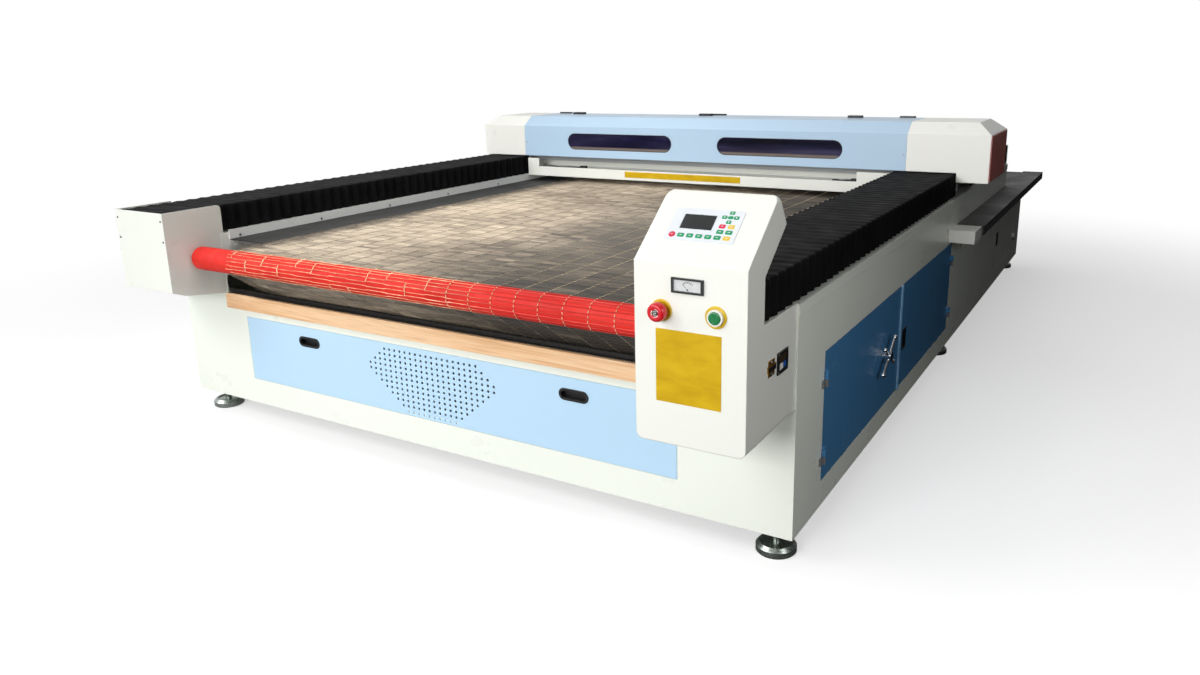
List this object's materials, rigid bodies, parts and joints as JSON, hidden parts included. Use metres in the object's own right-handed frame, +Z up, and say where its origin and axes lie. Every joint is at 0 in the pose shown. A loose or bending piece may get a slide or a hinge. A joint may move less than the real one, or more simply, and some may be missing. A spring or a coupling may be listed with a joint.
{
  "type": "fabric laser cutting machine",
  "caption": "Conveyor-fed laser cutter for cloth: low white cabinet with a mesh belt, pleated side bellows, a travelling gantry with viewing slots and a front control console.",
  "frame": {"origin": "on the floor under the middle of the machine's bounding box", "axes": "+Z up, front (console and feed roller) towards -Y, +X to the operator's right"},
  "size_m": [2.335, 3.931, 0.929],
  "materials": {
    "white_paint": "gloss",
    "blue_paint": "satin",
    "door_paint": "gloss",
    "dark_red_paint": "satin",
    "black_paint": "satin",
    "grey_paint": "satin",
    "frame_paint": "satin",
    "beech": "satin",
    "bristle": "matt",
    "zinc": "satin",
    "chrome": "polished",
    "aluminium": "satin",
    "red_rubber": "matt",
    "belt_mesh": "matt",
    "pad_plastic": "satin",
    "screen": "gloss",
    "key_plastic": "satin",
    "black_plastic": "satin",
    "needle_paint": "matt",
    "clear": "gloss",
    "yellow_plastic": "gloss",
    "red_plastic": "gloss",
    "white_plastic": "gloss",
    "green_plastic": "gloss",
    "brass": "satin",
    "tinted": "gloss",
    "tube_glass": "gloss",
    "bellows_cloth": "matt"
  },
  "bodies": {
    "base": {"cabinet": "white_paint", "front_panel": "blue_paint", "panel_grips": "black_plastic", "wood_strip": "beech", "brush_strip": "bristle", "front_screws": "zinc", "left_end_box": "white_paint", "trim_rails": "white_paint", "rear_table": "black_paint", "side_ledge": "black_paint", "ledge_bracket": "white_paint", "levelling_feet": "chrome", "door_post": "blue_paint", "door_hinges": "zinc", "roller_bearings": "grey_paint", "conveyor_motor": "black_paint", "mesh_belt": "belt_mesh", "bed_slats": "aluminium", "bed_side_plates": "black_paint", "console_housing": "white_paint", "control_panel": "pad_plastic", "display": "screen", "keypad": "key_plastic", "meter_case": "black_plastic", "meter_window": "clear", "button_rings": "yellow_plastic", "start_bezel": "white_plastic", "console_plate": "yellow_plastic", "socket_frame": "black_plastic", "data_port": "brass", "mains_gland": "black_plastic", "y_rails": "zinc", "bellows_front": "bellows_cloth", "bellows_rear": "bellows_cloth"},
    "gantry": {"gantry_frame": "frame_paint", "carriages": "grey_paint", "x_rail": "zinc", "gantry_cover": "blue_paint", "left_end_cap": "white_paint", "right_end_cap": "white_paint", "end_plates": "dark_red_paint", "cover_windows": "tinted", "gantry_tray": "white_paint", "tray_strip": "yellow_plastic", "cover_catches": "black_plastic", "laser_tube": "tube_glass"},
    "head": {"laser_head": "grey_paint"},
    "front_drum": {"front_roller": "red_rubber", "front_shaft": "zinc"},
    "rear_drum": {"rear_roller": "red_rubber", "rear_shaft": "zinc"},
    "door_front": {"front_door": "door_paint"},
    "latch": {"cross_handle": "chrome"},
    "door_rear": {"rear_door": "door_paint", "rear_door_pull": "black_plastic"},
    "door_service": {"service_door": "white_paint", "service_door_pull": "black_plastic"},
    "stop": {"stop_button": "red_plastic"},
    "start": {"start_button": "green_plastic"},
    "needle": {"meter_needle": "needle_paint"}
  },
  "joints": [
    {"name": "gantry_slide", "type": "slide", "parent": "base", "child": "gantry", "axis": [0, 1, 0], "range_m": [-1.6, 0.78], "deforming": ["bellows_front", "bellows_rear"]},
    {"name": "head_slide", "type": "slide", "parent": "gantry", "child": "head", "axis": [1, 0, 0], "range_m": [-0.78, 0.78]},
    {"name": "front_roller_spin", "type": "hinge", "parent": "base", "child": "front_drum", "pos_m": [-0.0545, -1.7445, 0.58], "axis": [1, 0, 0], "continuous": true},
    {"name": "rear_roller_spin", "type": "hinge", "parent": "base", "child": "rear_drum", "pos_m": [-0.0545, 1.3535, 0.58], "axis": [1, 0, 0], "continuous": true},
    {"name": "front_door_hinge", "type": "hinge", "parent": "base", "child": "door_front", "pos_m": [1.0615, -1.4615, 0.308], "axis": [0, 0, -1], "range_deg": [0, 110]},
    {"name": "latch_turn", "type": "hinge", "parent": "door_front", "child": "latch", "pos_m": [1.0555, -0.9165, 0.308], "axis": [-1, 0, 0], "range_deg": [0, 90]},
    {"name": "rear_door_hinge", "type": "hinge", "parent": "base", "child": "door_rear", "pos_m": [1.0615, 0.0255, 0.308], "axis": [0, 0, 1], "range_deg": [0, 110]},
    {"name": "service_door_hinge", "type": "hinge", "parent": "base", "child": "door_service", "pos_m": [1.0615, 1.7185, 0.308], "axis": [0, 0, 1], "range_deg": [0, 110]},
    {"name": "stop_press", "type": "slide", "parent": "base", "child": "stop", "axis": [0, 1, 0], "range_m": [0, 0.006]},
    {"name": "start_press", "type": "slide", "parent": "base", "child": "start", "axis": [0, 1, 0], "range_m": [0, 0.003], "stiffness_N_per_m": 600},
    {"name": "needle_swing", "type": "hinge", "parent": "base", "child": "needle", "pos_m": [0.924, -1.9345, 0.7225], "axis": [0, 1, 0], "range_deg": [0, 90]}
  ],
  "couplings": [
    {"joint": "rear_roller_spin", "follows": "front_roller_spin", "ratio": 1}
  ]
}
